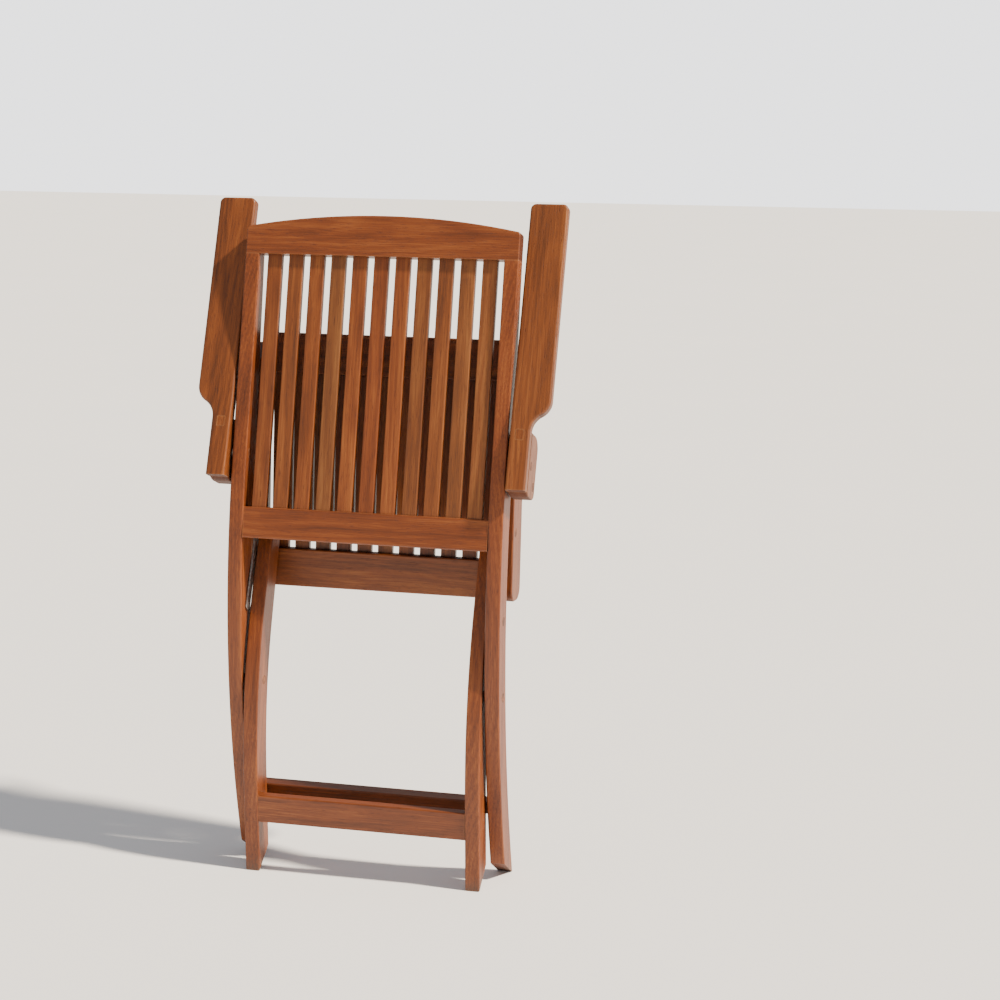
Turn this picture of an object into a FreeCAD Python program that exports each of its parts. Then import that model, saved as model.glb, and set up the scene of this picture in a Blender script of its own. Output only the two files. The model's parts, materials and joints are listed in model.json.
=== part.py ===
import FreeCAD, Part
import math
import os

import Sketcher

# Folding garden armchair of slatted teak, drawn folded flat and standing on its feet.
# X is the width, +X to the left hand of the person who sits. +Y points to the chair's front.
# Z is up. Side-view points are pairs (y, z) counted from the cross pivot of the two leg frames,
# in a drawing where the rear feet are plumb. stand() leans that drawing back on its feet.

SIZES = {
    # overall
    "frame_width": 451.0,        # outside to outside of the two stiles
    "pivot_rise": 315.0,         # height of the cross pivot over the ground, folded
    "stand_tilt": 3.0,           # how far the folded chair leans back on its feet
    "foot_angle": 33.0,          # slant of a foot's sole, flat on the ground once open
    "foot_straight": 60.0,       # straight end of a stile, above the tip of its foot
    "toe_flat": 4.0,             # flat under the tip of a front foot, where the folded chair stands
    # stiles: one bowed plank each, from the top of the back down to the front feet
    "stile_thick": 24.0,
    "stile_depth": 46.0,
    "stile_top_depth": 26.0,
    "stile_bow": 1280.0,         # radius of the rear face
    "stile_bow_rise": 24.0,      # the bow's rearmost point, over the cross pivot
    "stile_rear": 25.7,          # the bow's rearmost point, behind the cross pivot
    "stile_straight": 330.5,     # straight length between the bow and the top rail
    "back_lean": 15.3,
    # the back
    "top_rail_end": 44.0,
    "top_rail_arch": 21.0,
    "rail_corner": 6.0,
    "low_rail_tall": 50.0,
    "low_rail_thick": 22.0,
    "low_rail_inset": 5.0,
    "low_rail_drop": 76.0,       # top of the lower back rail, below the end of the bow
    "slat_count": 11.0,
    "slat_wide": 24.0,
    "slat_thick": 11.0,
    "slat_inset": 8.0,
    "slat_housing": 10.0,        # length of a slat's end that sits in its rail
    # rear legs
    "leg_thick": 24.0,
    "leg_depth": 47.0,
    "leg_rear": 44.0,            # rear face behind the cross pivot, at the foot
    "leg_bend": 760.0,           # radius of the bend's rear face
    "leg_bend_drop": 160.0,      # start of the bend, below the cross pivot
    "leg_bend_angle": 24.7,
    "leg_straight": 108.0,       # from the bend to the seat pivot
    "leg_nose": 18.5,            # radius of the rounded top end
    # stretchers
    "rear_bar_tall": 46.0,
    "rear_bar_thick": 18.0,
    "rear_bar_drop": 183.0,      # its top, below the cross pivot
    "rear_bar_inset": 1.0,       # behind it, to the rear face of the legs
    "front_bar_tall": 20.0,
    "front_bar_depth": 29.0,
    "front_bar_drop": 180.0,
    "front_bar_gap": 3.0,        # between it and the folded rear legs
    # seat
    "seat_lean": 6.5,
    "seat_rail_depth": 58.0,
    "seat_pivot_cover": 15.5,    # seat pivot to the underside of the side rail
    "seat_front": 112.0,         # seat pivot to the front end
    "seat_rear": 304.0,          # seat pivot to the rear end of the rear rail
    "seat_nose_round": 22.0,
    "front_rail_wide": 62.0,
    "front_rail_thick": 24.0,
    "rear_rail_wide": 65.0,
    "rear_rail_thick": 22.0,
    "seat_slat_thick": 12.0,
    "seat_slat_wide": 33.0,
    "seat_slat_tongue": 17.0,    # narrow front end, which leaves an opening beside it
    "seat_slat_sunk": 1.0,       # below the top of the side rails
    # arms
    "arm_lean": 23.0,
    "arm_reach": 417.0,          # arm pivot to the front end
    "arm_tail": 48.0,            # arm pivot to the rear end
    "arm_wide": 61.0,
    "arm_narrow": 32.0,
    "arm_thick": 20.0,
    "arm_top": 30.0,             # arm pivot to the top face
    "ear_drop": 41.0,            # arm pivot to the bottom of the ear
    "ear_front": 52.0,           # arm pivot to the ear's front end
    "ear_round": 38.0,
    "ear_corner": 12.0,          # lower rear corner of the ear; the front one is twice that
    "arm_pivot_up": 368.0,       # over the cross pivot
    "arm_pivot_fore": 37.0,      # in front of the cross pivot
    "arm_round": 4.0,
    "arm_nose_round": 12.0,      # rolled front end of the top face
    "arm_corner": 9.0,           # rounded front corners of a board
    "arm_curve_long": 48.0,      # length of the curve from the wide part to the narrow part
    "arm_curve_bulge": 0.18,     # how far the curve leaves its chord, for each unit of its width
    "arm_tenon_long": 16.0,
    "arm_tenon_wide": 13.0,
    # steel straps
    "strap_thick": 3.0,
    "strap_wide": 16.0,
    "strap_low_up": 124.0,       # its pin in the stile, over the cross pivot
    "strap_low_fore": 4.5,
    "arm_pin_back": 28.0,        # the arm strap's pin in the ear, behind the arm pivot
    "arm_pin_down": 27.0,
    "seat_pin_high": 24.0,       # the arm strap's pin in the seat, over the seat pivot's line
    # how far each piece has turned once the chair is open
    "legs_turn": 66.0,
    "seat_turn": 67.0,
    "arm_turn": 98.0,
    # joints and fasteners
    "joint_gap": 4.0,            # between pieces that swing past each other
    "stop_gap": 0.5,
    "fit_gap": 0.2,
    "nut_pocket_deep": 9.0,      # hollow in the rear seat rail's end for the arm strap's nut
    "cut_margin": 20.0,          # how far a cutting tool reaches past what it cuts
    "run_gap": 0.05,
    "tenon_long": 14.0,
    "tenon_thick": 12.0,
    "tenon_shoulder": 6.0,
    "tenon_root": 4.0,           # length of a tenon inside its own bar
    "sink_spare": 1.0,           # depth of a counterbore beyond its plug and bolt head
    "washer_clear": 0.4,         # air on each side of a washer
    "bolt_radius": 4.0,
    "bolt_head_radius": 6.5,
    "bolt_head_tall": 5.0,
    "pin_radius": 3.0,
    "pin_head_radius": 5.5,
    "plug_radius": 7.5,
    "plug_thick": 5.0,
    "washer_radius": 9.5,
    "edge_round": 2.5,
    "slat_round": 1.5,
}

document = FreeCAD.newDocument("folding_armchair")
sheet = document.addObject("Spreadsheet::Sheet", "Sizes")
for row, (alias, value) in enumerate(SIZES.items(), start=1):
    sheet.set("A%d" % row, alias)
    sheet.set("B%d" % row, str(value))
    sheet.setAlias("B%d" % row, alias)
document.recompute()


class Values:
    """The sheet's numbers, read back by name."""

    def __getattr__(self, alias):
        return float(sheet.get(alias))


size = Values()
nodes = {}


# ---------------------------------------------------------------- plane geometry

def turned(point, degrees):
    """A side-view vector turned about +X."""
    c = math.cos(math.radians(degrees))
    s = math.sin(math.radians(degrees))
    return (point[0] * c - point[1] * s, point[0] * s + point[1] * c)


def plus(first, second, times=1.0):
    return (first[0] + times * second[0], first[1] + times * second[1])


def span(first, second):
    return math.hypot(second[0] - first[0], second[1] - first[1])


def polar(centre, radius, degrees):
    a = math.radians(degrees)
    return (centre[0] + radius * math.cos(a), centre[1] + radius * math.sin(a))


def heading(first, second):
    return math.degrees(math.atan2(second[1] - first[1], second[0] - first[0]))


def walk_to_circle(start, direction, centre, radius):
    """The nearest point ahead where a straight line meets a circle."""
    offset = plus(start, centre, -1.0)
    along = offset[0] * direction[0] + offset[1] * direction[1]
    rest = along * along - (offset[0] ** 2 + offset[1] ** 2) + radius * radius
    roots = (-along - math.sqrt(rest), -along + math.sqrt(rest))
    return plus(start, direction, min(r for r in roots if r > 0.0))


def crossing(first, first_way, second, second_way):
    """Where two lines meet. Each is a point and a direction."""
    gap = plus(second, first, -1.0)
    turn = first_way[0] * second_way[1] - first_way[1] * second_way[0]
    along = (gap[0] * second_way[1] - gap[1] * second_way[0]) / turn
    return plus(first, first_way, along)


def stand(point):
    """A side-view point in the chair's own frame: leaned back and set over the origin."""
    y, z = turned(point, size.stand_tilt)
    return (y + pivot[0], z + pivot[1])


def ground_under(y):
    """Height of the ground in the side view."""
    tilt = math.radians(size.stand_tilt)
    return -(size.pivot_rise + y * math.sin(tilt)) / math.cos(tilt)


class Tilted:
    """A frame in the side view: 'along' runs up the lean, 'across' points to the front."""

    def __init__(self, origin, lean):
        self.origin = origin
        self.lean = lean
        self.along = turned((0.0, 1.0), -lean)
        self.across = turned((1.0, 0.0), -lean)

    def point(self, along, across):
        return plus(plus(self.origin, self.along, along), self.across, across)

    def placement(self, x, along, across):
        y, z = stand(self.point(along, across))
        turn = FreeCAD.Rotation(FreeCAD.Vector(1, 0, 0), size.stand_tilt - self.lean)
        return FreeCAD.Placement(FreeCAD.Vector(x, y, z), turn)


# ---------------------------------------------------------------- the chair's main points

half_width = size.frame_width / 2
stile_inner = half_width - size.stile_thick
leg_outer = stile_inner - size.joint_gap
leg_inner = leg_outer - size.leg_thick
arm_inner = half_width + size.joint_gap

cross_pivot = (0.0, 0.0)
arm_pivot = (size.arm_pivot_fore, size.arm_pivot_up)
stile_pin = (size.strap_low_fore, size.strap_low_up)

# stiles: both faces are arcs about one centre in front of the chair
stile_centre = (size.stile_bow - size.stile_rear, size.stile_bow_rise)
stile_front_bow = size.stile_bow - size.stile_depth
back = Tilted(polar(stile_centre, size.stile_bow, 180.0 - size.back_lean), size.back_lean)

# rear legs: a straight foot, a bend and a straight upper end with the seat pivot in its nose
leg_centre = (size.leg_bend - size.leg_rear, -size.leg_bend_drop)
leg_front_bend = size.leg_bend - size.leg_depth
leg_top = Tilted(polar(leg_centre, size.leg_bend, 180.0 - size.leg_bend_angle),
                 size.leg_bend_angle)
seat_pivot = leg_top.point(size.leg_straight, size.leg_nose)
seat_pivot_open = turned(seat_pivot, -size.legs_turn)

seat = Tilted(seat_pivot, size.seat_lean)
seat_open = Tilted(seat_pivot_open, size.seat_lean - size.seat_turn)
arm = Tilted(arm_pivot, size.arm_lean)
arm_open = Tilted(arm_pivot, size.arm_lean + size.arm_turn)

seat_top = size.seat_rail_depth - size.seat_pivot_cover


def reach_of_seat_pin(closed_end, open_end, across):
    """How far behind the seat pivot a pin sits, so that its strap fits folded and open."""
    closed = plus(seat.point(0.0, across), closed_end, -1.0)
    opened = plus(seat_open.point(0.0, across), open_end, -1.0)
    slope = (opened[0] * seat_open.along[0] + opened[1] * seat_open.along[1]
             - closed[0] * seat.along[0] - closed[1] * seat.along[1])
    return (closed[0] ** 2 + closed[1] ** 2 - opened[0] ** 2 - opened[1] ** 2) / (2 * slope)


low_strap_reach = reach_of_seat_pin(stile_pin, stile_pin, 0.0)
low_strap_top = seat.point(low_strap_reach, 0.0)
arm_pin = arm.point(-size.arm_pin_back, size.arm_pin_down)
arm_pin_open = arm_open.point(-size.arm_pin_back, size.arm_pin_down)
arm_strap_reach = reach_of_seat_pin(arm_pin, arm_pin_open, size.seat_pin_high)
arm_strap_top = seat.point(arm_strap_reach, size.seat_pin_high)

# the origin lies on the ground, in the middle of the folded chair's depth
arm_corner = arm.point(size.arm_reach - size.arm_round,
                       size.arm_thick - size.arm_top - size.arm_round)
front_most = turned(arm_corner, size.stand_tilt)[0] + size.arm_round
rear_most = turned(leg_centre, size.stand_tilt)[0] - size.leg_bend
pivot = (-(front_most + rear_most) / 2, size.pivot_rise)


# ---------------------------------------------------------------- building blocks

def bound(expression):
    """An expression over the sheet's aliases, written with the aliases in braces."""
    return expression.replace("{", "Sizes.").replace("}", "")


def level(y, z):
    """An upright frame at a side-view point."""
    return Tilted((y, z), 0.0)


def origin_plane(body, role):
    for feature in body.Origin.OriginFeatures:
        if feature.Role == role:
            return feature
    raise RuntimeError("no plane " + role)


def square_pad(name, role, edges, thick, placement):
    """A padded outline with square edges."""
    body = document.addObject("PartDesign::Body", name + "_body")
    sketch = body.newObject("Sketcher::SketchObject", name + "_outline")
    sketch.AttachmentSupport = [(origin_plane(body, role), "")]
    sketch.MapMode = "FlatFace"
    for edge in edges:
        sketch.addGeometry(edge, False)
    join_ends(sketch, len(edges))
    pad = body.newObject("PartDesign::Pad", name + "_pad")
    pad.Profile = sketch
    pad.setExpression("Length", bound(thick))
    body.Placement = placement
    document.recompute()
    return body, pad


def outline_pad(name, role, edges, thick, placement, rounding, keep_sharp=()):
    """A padded outline whose long edges are rounded. Edges named in keep_sharp stay square."""
    body, pad = square_pad(name, role, edges, thick, placement)
    sharp = [{rounded(edges[i].StartPoint), rounded(edges[i].EndPoint)} for i in keep_sharp]
    round_long_edges(body, pad, name, role, sharp, rounding)
    return body


def join_ends(sketch, count):
    """Ties each piece of a closed outline to the next where their ends meet."""
    for index in range(count):
        following = (index + 1) % count
        for here in (1, 2):
            for there in (1, 2):
                gap = sketch.getPoint(index, here) - sketch.getPoint(following, there)
                if gap.Length < 0.001:
                    sketch.addConstraint(
                        Sketcher.Constraint("Coincident", index, here, following, there))


def round_long_edges(body, pad, name, role, sharp, rounding):
    """Rounds the outline's own edges on both faces of the pad."""
    thick = pad.Length.Value
    names = []
    for index, edge in enumerate(pad.Shape.Edges, start=1):
        first = flat_coordinates(edge.Vertexes[0].Point, role)
        last = flat_coordinates(edge.Vertexes[-1].Point, role)
        if abs(first[2] - last[2]) > thick / 2:
            continue
        if {rounded(first), rounded(last)} not in sharp:
            names.append("Edge%d" % index)
    fillet = body.newObject("PartDesign::Fillet", name + "_rounding")
    fillet.Base = (pad, names)
    fillet.setExpression("Radius", bound(rounding))
    document.recompute()


def rounded(point):
    return (round(point[0], 2), round(point[1], 2))


def flat_coordinates(point, role):
    """A solid's point in its sketch plane's terms, with the distance off the plane last."""
    if role == "YZ_Plane":
        return (point.y, point.z, point.x)
    if role == "XZ_Plane":
        return (point.x, point.z, point.y)
    return (point.x, point.y, point.z)


def bar(name, role, wide, tall, length, placement, rounding="{edge_round}"):
    """A straight bar of rectangular section with its four long edges rounded."""
    body = document.addObject("PartDesign::Body", name + "_body")
    sketch = body.newObject("Sketcher::SketchObject", name + "_section")
    sketch.AttachmentSupport = [(origin_plane(body, role), "")]
    sketch.MapMode = "FlatFace"
    first_wide, first_tall = 20.0, 10.0
    corners = [(0, 0), (first_wide, 0), (first_wide, first_tall), (0, first_tall)]
    for index in range(4):
        start = FreeCAD.Vector(*corners[index], 0)
        end = FreeCAD.Vector(*corners[(index + 1) % 4], 0)
        sketch.addGeometry(Part.LineSegment(start, end), False)
    for index in range(4):
        sketch.addConstraint(Sketcher.Constraint("Coincident", index, 2, (index + 1) % 4, 1))
    sketch.addConstraint(Sketcher.Constraint("Coincident", 0, 1, -1, 1))
    sketch.addConstraint(Sketcher.Constraint("Horizontal", 0))
    sketch.addConstraint(Sketcher.Constraint("Horizontal", 2))
    sketch.addConstraint(Sketcher.Constraint("Vertical", 1))
    sketch.addConstraint(Sketcher.Constraint("Vertical", 3))
    across = sketch.addConstraint(Sketcher.Constraint("DistanceX", 0, 1, 0, 2, first_wide))
    upward = sketch.addConstraint(Sketcher.Constraint("DistanceY", 1, 1, 1, 2, first_tall))
    sketch.setExpression("Constraints[%d]" % across, bound(wide))
    sketch.setExpression("Constraints[%d]" % upward, bound(tall))
    pad = body.newObject("PartDesign::Pad", name + "_pad")
    pad.Profile = sketch
    pad.setExpression("Length", bound(length))
    document.recompute()
    direction = {"YZ_Plane": 0, "XZ_Plane": 1, "XY_Plane": 2}[role]
    names = []
    for index, edge in enumerate(pad.Shape.Edges, start=1):
        run = edge.Vertexes[1].Point - edge.Vertexes[0].Point
        if abs(run[direction]) > 0.99 * run.Length:
            names.append("Edge%d" % index)
    fillet = body.newObject("PartDesign::Fillet", name + "_rounding")
    fillet.Base = (pad, names)
    fillet.setExpression("Radius", bound(rounding))
    body.Placement = placement
    document.recompute()
    return body


def block(name, long, deep, tall, placement):
    """A plain box, used for tenons, mortises and cuts."""
    box = document.addObject("Part::Box", name)
    box.setExpression("Length", bound(long))
    box.setExpression("Width", bound(deep))
    box.setExpression("Height", bound(tall))
    box.Placement = placement
    return box


def rod(name, radius, x_start, x_end, point):
    """A round rod along X between two distances from the chair's middle."""
    cylinder = document.addObject("Part::Cylinder", name)
    cylinder.setExpression("Radius", bound(radius))
    cylinder.Height = abs(x_end - x_start)
    base = FreeCAD.Vector(min(x_start, x_end), *stand(point))
    cylinder.Placement = FreeCAD.Placement(base, FreeCAD.Rotation(FreeCAD.Vector(0, 1, 0), 90))
    return cylinder


def node(label, base, add=(), cut=()):
    """One named piece: its base with parts joined on and parts cut away."""
    result = base
    if add:
        joined = document.addObject("Part::MultiFuse", label + "_joined")
        joined.Shapes = [result] + list(add)
        joined.Refine = True
        result = joined
    if cut:
        tools = document.addObject("Part::Compound", label + "_tools")
        tools.Links = list(cut)
        trimmed = document.addObject("Part::Cut", label + "_trimmed")
        trimmed.Base = result
        trimmed.Tool = tools
        trimmed.Refine = True
        result = trimmed
    result.Label = label
    nodes[label] = result
    return result


def group(label, pieces):
    """Identical fasteners as one named piece of separate solids."""
    gathered = document.addObject("Part::Compound", label + "_set")
    gathered.Links = list(pieces)
    gathered.Label = label
    nodes[label] = gathered


def vector(point):
    return FreeCAD.Vector(point[0], point[1], 0)


def line(first, last):
    return Part.LineSegment(vector(first), vector(last))


def arc(first, middle, last):
    return Part.Arc(vector(first), vector(middle), vector(last))


def arc_about(centre, radius, first_degrees, last_degrees):
    middle = polar(centre, radius, (first_degrees + last_degrees) / 2)
    return arc(polar(centre, radius, first_degrees), middle,
               polar(centre, radius, last_degrees))


def pair_sides(right_low, right_high):
    """The same span of X on the right and on the left."""
    return (("right", right_low, right_high), ("left", -right_high, -right_low))


def at_pivot(x):
    """Placement of a body whose outline is drawn about the cross pivot."""
    return level(0.0, 0.0).placement(x, 0.0, 0.0)


def bolt_bore(name, point, low, high):
    return rod(name, "{bolt_radius} + {run_gap}", low, high, point)


def counterbore(name, point, face, inward):
    """The hole for a bolt's head and the wooden plug over it, sunk from a face."""
    depth = size.plug_thick + size.bolt_head_tall + size.sink_spare
    return rod(name, "{plug_radius}", face, face + inward * depth, point)


# ---------------------------------------------------------------- stiles

def stile_outline():
    """The side view of a stile, from the foot's tip round by its rear face."""
    ground = (0.0, ground_under(0.0))
    forward = turned((1.0, 0.0), -size.stand_tilt)
    tip_angle = heading(stile_centre, walk_to_circle(ground, forward, stile_centre,
                                                     stile_front_bow))
    foot = tip_angle % 360.0 - math.degrees(size.foot_straight / stile_front_bow)
    down = turned((0.0, 1.0), foot)
    foot_rear = polar(stile_centre, size.stile_bow, foot)
    foot_front = polar(stile_centre, stile_front_bow, foot)
    tip = crossing(foot_front, down, ground, forward)
    sole_tip = plus(tip, forward, -size.toe_flat)
    heel = crossing(foot_rear, down, sole_tip, turned((-1.0, 0.0), -size.foot_angle))
    top_rear = back.point(size.stile_straight, 0.0)
    top_front = back.point(size.stile_straight, size.stile_top_depth)
    reach = span(stile_centre, top_front)
    turn = math.degrees(math.acos(stile_front_bow / reach))
    touch = heading(stile_centre, top_front) + turn
    return [
        line(sole_tip, heel),
        line(heel, foot_rear),
        arc_about(stile_centre, size.stile_bow, foot, 180.0 - size.back_lean),
        line(back.point(0.0, 0.0), top_rear),
        line(top_rear, top_front),
        line(top_front, polar(stile_centre, stile_front_bow, touch)),
        arc_about(stile_centre, stile_front_bow, touch, foot),
        line(foot_front, tip),
        line(tip, sole_tip),
    ]


def stiles():
    for side, low, high in pair_sides(stile_inner, half_width):
        outward = 1 if side == "right" else -1
        inner = low if side == "right" else high
        outer = high if side == "right" else low
        name = side + "_stile"
        body = outline_pad(name, "YZ_Plane", stile_outline(), "{stile_thick}",
                           at_pivot(low), "{edge_round}", keep_sharp=(0, 4, 8))
        tenon_low = (low + high) / 2 - size.tenon_thick / 2
        root = back.placement(tenon_low, size.stile_straight - size.tenon_root,
                              size.tenon_shoulder)
        tenon = block(name + "_tenon", "{tenon_thick}",
                      "{stile_top_depth} - 2 * {tenon_shoulder}",
                      "{tenon_long} + {tenon_root}", root)
        cuts = [
            rail_mortise(name + "_rail_mortise", inner, outward),
            bar_mortise(name + "_bar_mortise", inner, outward),
            bolt_bore(name + "_cross_bore", cross_pivot, low, high),
            bolt_bore(name + "_arm_bore", arm_pivot, low, high),
            rod(name + "_pin_bore", "{pin_radius}", low, high, stile_pin),
            counterbore(name + "_cross_sink", cross_pivot, outer, -outward),
            counterbore(name + "_arm_sink", arm_pivot, inner, outward),
            counterbore(name + "_pin_sink", stile_pin, outer, -outward),
        ]
        node(name, body, add=[tenon], cut=cuts)


def mortise_start(face, outward, depth):
    return face if outward > 0 else face - depth


# ---------------------------------------------------------------- the back

def low_rail_frame(x, along, across):
    return back.placement(x, -size.low_rail_drop - size.low_rail_tall + along,
                          size.low_rail_inset + across)


def rail_mortise(name, face, outward):
    depth = size.tenon_long + size.fit_gap
    return block(name, "{tenon_long} + {fit_gap}",
                 "{low_rail_thick} - 2 * {tenon_shoulder} + 2 * {fit_gap}",
                 "{low_rail_tall} - 2 * {tenon_shoulder} + 2 * {fit_gap}",
                 low_rail_frame(mortise_start(face, outward, depth),
                                size.tenon_shoulder - size.fit_gap,
                                size.tenon_shoulder - size.fit_gap))


def slat_places():
    """The middle of each slat, with even gaps between the stiles."""
    count = int(size.slat_count)
    opening = 2 * stile_inner
    gap = (opening - count * size.slat_wide) / (count + 1)
    step = gap + size.slat_wide
    return [-stile_inner + gap + size.slat_wide / 2 + step * k for k in range(count)]


def slat_mortises(name, frame, along, across, deep, tall):
    """A row of housings for the ends of the slats."""
    holes = []
    for number, middle in enumerate(slat_places(), start=1):
        start = middle - size.slat_wide / 2 - size.fit_gap
        holes.append(block("%s_%02d" % (name, number), "{slat_wide} + 2 * {fit_gap}", deep, tall,
                           frame.placement(start, along, across)))
    return holes


def low_back_rail():
    name = "lower_back_rail"
    body = bar(name, "YZ_Plane", "{low_rail_thick}", "{low_rail_tall}",
               "{frame_width} - 2 * {stile_thick}", low_rail_frame(-stile_inner, 0.0, 0.0))
    tenons = []
    for side, low, high in pair_sides(stile_inner - size.tenon_root, stile_inner + size.tenon_long):
        tenons.append(block(name + "_tenon_" + side, "{tenon_long} + {tenon_root}",
                            "{low_rail_thick} - 2 * {tenon_shoulder}",
                            "{low_rail_tall} - 2 * {tenon_shoulder}",
                            low_rail_frame(low, size.tenon_shoulder, size.tenon_shoulder)))
    holes = slat_mortises(name + "_housing", back,
                          -size.low_rail_drop - size.slat_housing - size.fit_gap,
                          size.slat_inset - size.fit_gap,
                          "{slat_thick} + 2 * {fit_gap}", "{slat_housing} + 2 * {fit_gap}")
    node(name, body, add=tenons, cut=holes)


def top_rail():
    """The arched top rail, which sits on both stiles."""
    name = "top_rail"
    rise = size.top_rail_arch
    arch = (half_width ** 2 + rise ** 2) / (2 * rise)
    centre = (0.0, size.top_rail_end + rise - arch)
    r = size.rail_corner
    # each top corner is a small arc that touches both the end and the arch
    up = math.sqrt((arch - r) ** 2 - (half_width - r) ** 2)
    corner = (half_width - r, centre[1] + up)
    turn = heading(centre, corner)
    far_corner = (-corner[0], corner[1])
    outline = [
        line((-half_width, 0.0), (half_width, 0.0)),
        line((half_width, 0.0), (half_width, corner[1])),
        arc_about(corner, r, 0.0, turn),
        arc_about(centre, arch, turn, 180.0 - turn),
        arc_about(far_corner, r, 180.0 - turn, 180.0),
        line((-half_width, corner[1]), (-half_width, 0.0)),
    ]
    placement = back.placement(0.0, size.stile_straight, size.stile_top_depth)
    body = outline_pad(name, "XZ_Plane", outline, "{stile_top_depth}", placement,
                       "{edge_round}", keep_sharp=(0,))
    cuts = slat_mortises(name + "_housing", back, size.stile_straight - size.fit_gap,
                         size.slat_inset - size.fit_gap,
                         "{slat_thick} + 2 * {fit_gap}", "{slat_housing} + 2 * {fit_gap}")
    for side, low, high in pair_sides(stile_inner, half_width):
        start = (low + high) / 2 - size.tenon_thick / 2 - size.fit_gap
        cuts.append(block(name + "_mortise_" + side, "{tenon_thick} + 2 * {fit_gap}",
                          "{stile_top_depth} - 2 * {tenon_shoulder} + 2 * {fit_gap}",
                          "{tenon_long} + 2 * {fit_gap}",
                          back.placement(start, size.stile_straight - size.fit_gap,
                                         size.tenon_shoulder - size.fit_gap)))
    node(name, body, cut=cuts)


def back_slats():
    for number, middle in enumerate(slat_places(), start=1):
        name = "back_slat_%02d" % number
        placement = back.placement(middle - size.slat_wide / 2,
                                   -size.low_rail_drop - size.slat_housing, size.slat_inset)
        length = "{stile_straight} + {low_rail_drop} + 2 * {slat_housing}"
        node(name, bar(name, "XY_Plane", "{slat_wide}", "{slat_thick}", length, placement,
                       "{slat_round}"))


# ---------------------------------------------------------------- stretchers

def front_bar_rear():
    """Rear face of the front stretcher: clear of the folded rear legs."""
    return size.leg_depth - size.leg_rear + size.front_bar_gap


def front_stretcher():
    name = "front_stretcher"
    rear = front_bar_rear()
    bottom = -size.front_bar_drop - size.front_bar_tall
    body = bar(name, "YZ_Plane", "{front_bar_depth}", "{front_bar_tall}",
               "{frame_width} - 2 * {stile_thick}",
               level(rear, bottom).placement(-stile_inner, 0.0, 0.0))
    tenons = []
    for side, low, high in pair_sides(stile_inner - size.tenon_root, stile_inner + size.tenon_long):
        tenons.append(block(name + "_tenon_" + side, "{tenon_long} + {tenon_root}",
                            "{front_bar_depth} - 2 * {tenon_shoulder}",
                            "{front_bar_tall} - {tenon_shoulder}",
                            level(rear, bottom).placement(low, size.tenon_shoulder / 2,
                                                          size.tenon_shoulder)))
    node(name, body, add=tenons)


def bar_mortise(name, face, outward):
    depth = size.tenon_long + size.fit_gap
    rear = front_bar_rear() + size.tenon_shoulder - size.fit_gap
    bottom = -size.front_bar_drop - size.front_bar_tall + size.tenon_shoulder / 2 - size.fit_gap
    return block(name, "{tenon_long} + {fit_gap}",
                 "{front_bar_depth} - 2 * {tenon_shoulder} + 2 * {fit_gap}",
                 "{front_bar_tall} - {tenon_shoulder} + 2 * {fit_gap}",
                 level(rear, bottom).placement(mortise_start(face, outward, depth), 0.0, 0.0))


def rear_bar_corner():
    return level(size.rear_bar_inset - size.leg_rear, -size.rear_bar_drop - size.rear_bar_tall)


def rear_stretcher():
    name = "rear_stretcher"
    body = bar(name, "YZ_Plane", "{rear_bar_thick}", "{rear_bar_tall}",
               "{frame_width} - 2 * {stile_thick} - 2 * {leg_thick} - 2 * {joint_gap}",
               rear_bar_corner().placement(-leg_inner, 0.0, 0.0))
    tenons = []
    for side, low, high in pair_sides(leg_inner - size.tenon_root, leg_inner + size.tenon_long):
        tenons.append(block(name + "_tenon_" + side, "{tenon_long} + {tenon_root}",
                            "{rear_bar_thick} - {tenon_shoulder}",
                            "{rear_bar_tall} - 2 * {tenon_shoulder}",
                            rear_bar_corner().placement(low, size.tenon_shoulder,
                                                        size.tenon_shoulder / 2)))
    node(name, body, add=tenons)


# ---------------------------------------------------------------- rear legs

def leg_outline():
    """The side view of a rear leg, from the heel's tip up its rear face."""
    heel = (-size.leg_rear, ground_under(-size.leg_rear))
    rise = size.leg_depth * math.tan(math.radians(size.foot_angle))
    toe = (size.leg_depth - size.leg_rear, heel[1] + rise)
    reach = span(leg_centre, seat_pivot)
    turn = math.degrees(math.acos((leg_front_bend + size.leg_nose) / reach))
    touch = heading(leg_centre, seat_pivot) + turn
    nose_rear = leg_top.point(size.leg_straight, 0.0)
    nose_front = polar(seat_pivot, size.leg_nose, touch + 180.0)
    nose_tip = polar(seat_pivot, size.leg_nose, 90.0 - size.leg_bend_angle / 2)
    return [
        line(heel, (-size.leg_rear, leg_centre[1])),
        arc_about(leg_centre, size.leg_bend, 180.0, 180.0 - size.leg_bend_angle),
        line(leg_top.point(0.0, 0.0), nose_rear),
        arc(nose_rear, nose_tip, nose_front),
        line(nose_front, polar(leg_centre, leg_front_bend, touch)),
        arc_about(leg_centre, leg_front_bend, touch, 180.0),
        line((size.leg_depth - size.leg_rear, leg_centre[1]), toe),
        line(toe, heel),
    ]


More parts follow.
